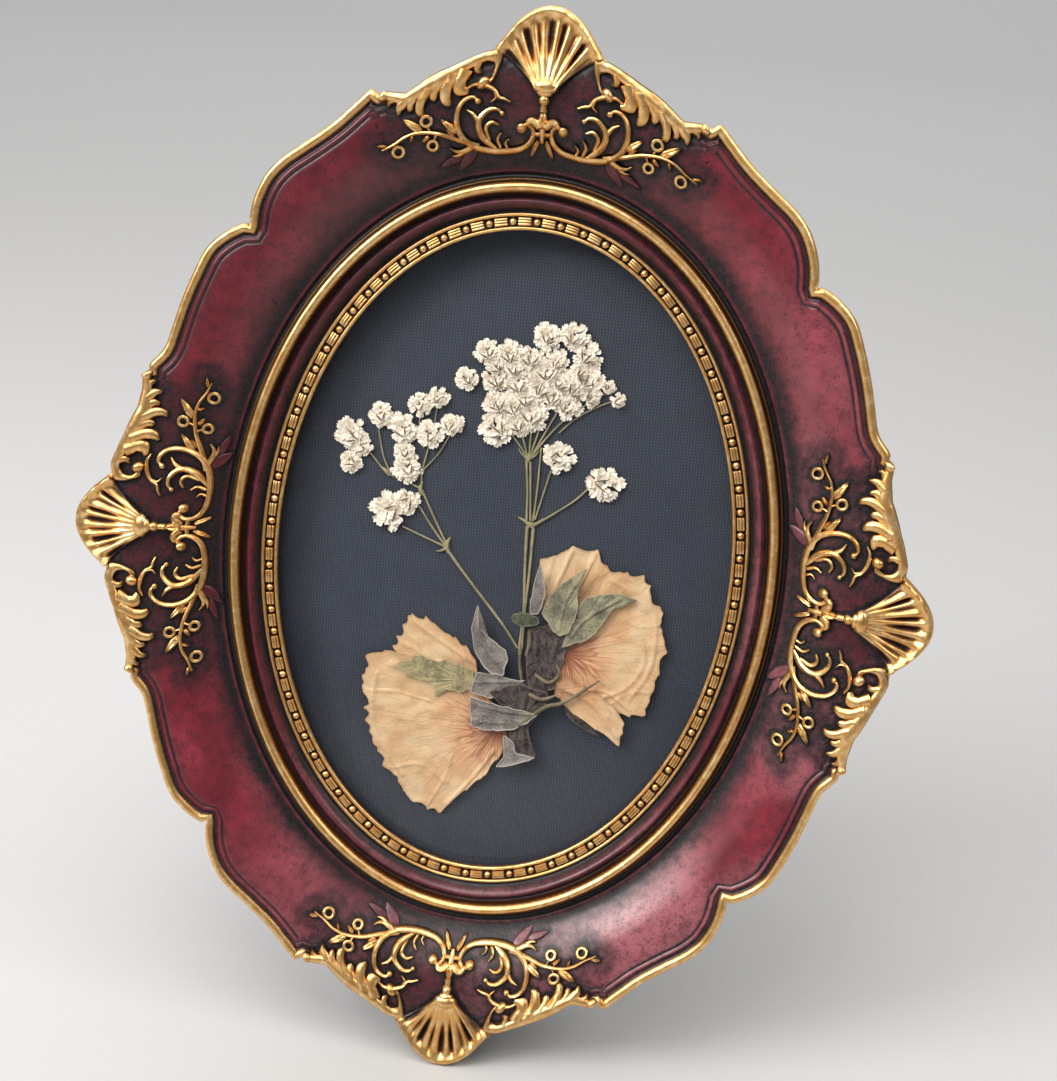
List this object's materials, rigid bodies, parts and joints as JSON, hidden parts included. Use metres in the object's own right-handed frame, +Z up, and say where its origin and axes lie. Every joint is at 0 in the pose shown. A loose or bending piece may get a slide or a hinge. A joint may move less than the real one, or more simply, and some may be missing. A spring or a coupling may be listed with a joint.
{
  "type": "pressed flower frame",
  "caption": "Oval burgundy and antique gold picture frame with shell ornaments, glazed over pressed roses and gypsophila on dark card, standing on an easel strut.",
  "frame": {"origin": "middle of the footprint, on the floor", "axes": "+Z up, front of the frame faces -Y, +X to the viewer's right"},
  "size_m": [0.217, 0.1166, 0.2601],
  "materials": {
    "casting": "cast resin painted deep burgundy, rubbed with antique gold on the high points and dark wash in the grooves, satin",
    "glass": "clear float glass",
    "card": "dark navy card with a fine linen emboss, matt",
    "board": "fibreboard covered in dark flocked velvet paper",
    "steel": "zinc plated",
    "petal": "dried rose petal, cream to peach, matt",
    "leaf": "dried green sepal, matt",
    "grey_leaf": "dried grey sepal with pale veins, matt",
    "calyx": "dried brown-black calyx, matt",
    "gypsophila": "dried white florets on thin olive stems, matt"
  },
  "bodies": {
    "frame_body": {"frame": "casting", "glass": "glass", "background_card": "card", "backing_board": "board", "retaining_tab_1": "steel", "retaining_tab_2": "steel", "retaining_tab_3": "steel", "retaining_tab_4": "steel", "hinge_bracket": "steel", "hinge_pin": "steel", "rose_left_back_petal": "petal", "rose_left_front_petal": "petal", "rose_left_torn_sepal": "leaf", "rose_left_curled_sepal": "grey_leaf", "rose_left_middle_sepal": "grey_leaf", "rose_left_lower_sepal": "grey_leaf", "rose_left_calyx": "calyx", "rose_right_back_petal": "petal", "rose_right_front_petal": "petal", "rose_right_inner_sepal": "leaf", "rose_right_upright_sepal": "leaf", "rose_right_outer_sepal": "leaf", "rose_right_calyx": "calyx", "rose_right_receptacle": "leaf", "gypsophila_sprig_right": "gypsophila", "gypsophila_sprig_left": "gypsophila"},
    "strut_body": {"easel_strut": "board", "hinge_leaf": "steel"}
  },
  "joints": [
    {"name": "easel_hinge", "type": "hinge", "parent": "frame_body", "child": "strut_body", "pos_m": [0, 0.01485, 0.15636], "axis": [1, 0, 0], "range_deg": [-28, 0]}
  ]
}
